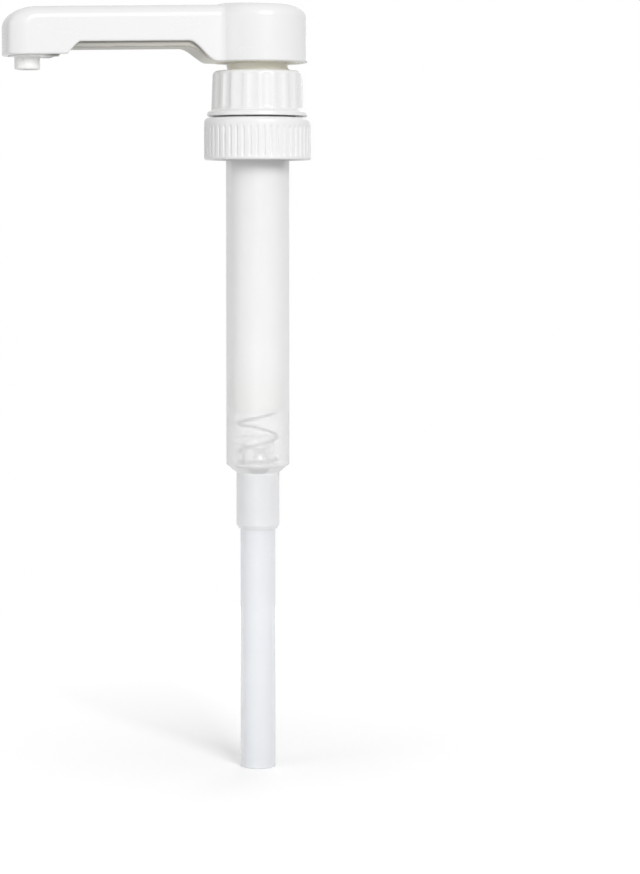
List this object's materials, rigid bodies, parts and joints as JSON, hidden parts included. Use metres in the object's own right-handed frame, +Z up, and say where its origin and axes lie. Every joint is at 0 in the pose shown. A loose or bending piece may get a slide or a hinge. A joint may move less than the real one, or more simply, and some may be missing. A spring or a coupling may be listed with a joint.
{
  "type": "condiment pump dispenser",
  "caption": "Hand pump for a screw-neck condiment jug: long lever head with a down-turned nozzle, ribbed lock collar and closure, translucent barrel and dip tube.",
  "frame": {"origin": "on the pump's axis, in the plane where the jug's rim meets the neck gasket", "axes": "+Z up the pump's axis towards the head, the spout points along -X, Y across the arm"},
  "size_m": [0.1228, 0.0426, 0.3047],
  "materials": {
    "gloss_white": "glossy moulded white",
    "satin_white": "satin moulded white",
    "stem_white": "smooth opaque white",
    "natural_pe": "natural soft plastic",
    "seal_rubber": "soft pale seal",
    "ball_steel": "polished stainless ball",
    "ring_steel": "stainless snap ring",
    "spring_steel": "drawn stainless wire",
    "collar_white": "satin natural white",
    "closure_white": "satin white",
    "gasket_foam": "closed-cell foam",
    "milky_pp": "milky translucent",
    "clear_pe": "bluish translucent"
  },
  "bodies": {
    "pump_body": {"barrel": "milky_pp", "lock_collar": "collar_white", "guide_bush": "natural_pe", "stem_wiper": "seal_rubber", "neck_gasket": "gasket_foam", "inlet_cage": "natural_pe", "dip_tube": "clear_pe", "return_spring": "spring_steel"},
    "closure": {"closure_cap": "closure_white"},
    "piston": {"piston_cup": "natural_pe"},
    "head": {"head_shell": "gloss_white", "spout_duct": "satin_white", "duct_end_plug": "natural_pe", "stem_o_ring": "seal_rubber", "piston_stem": "stem_white", "outlet_seat": "natural_pe", "outlet_cage": "natural_pe", "piston_snap_ring": "ring_steel"},
    "inlet_ball_body": {"inlet_ball": "ball_steel"},
    "outlet_ball_body": {"outlet_ball": "ball_steel"}
  },
  "joints": [
    {"name": "closure_spin", "type": "hinge", "parent": "pump_body", "child": "closure", "pos_m": [0, 0, 0], "axis": [0, 0, 1], "continuous": true},
    {"name": "pump_stroke", "type": "slide", "parent": "pump_body", "child": "piston", "axis": [0, 0, 1], "range_m": [0, 0.0778], "deforming": ["return_spring"]},
    {"name": "head_swivel", "type": "hinge", "parent": "piston", "child": "head", "pos_m": [0, 0, 0], "axis": [0, 0, 1], "continuous": true},
    {"name": "inlet_ball_lift", "type": "slide", "parent": "pump_body", "child": "inlet_ball_body", "axis": [0, 0, 1], "range_m": [0, 0.003]},
    {"name": "outlet_ball_lift", "type": "slide", "parent": "head", "child": "outlet_ball_body", "axis": [0, 0, 1], "range_m": [0, 0.0025]}
  ]
}
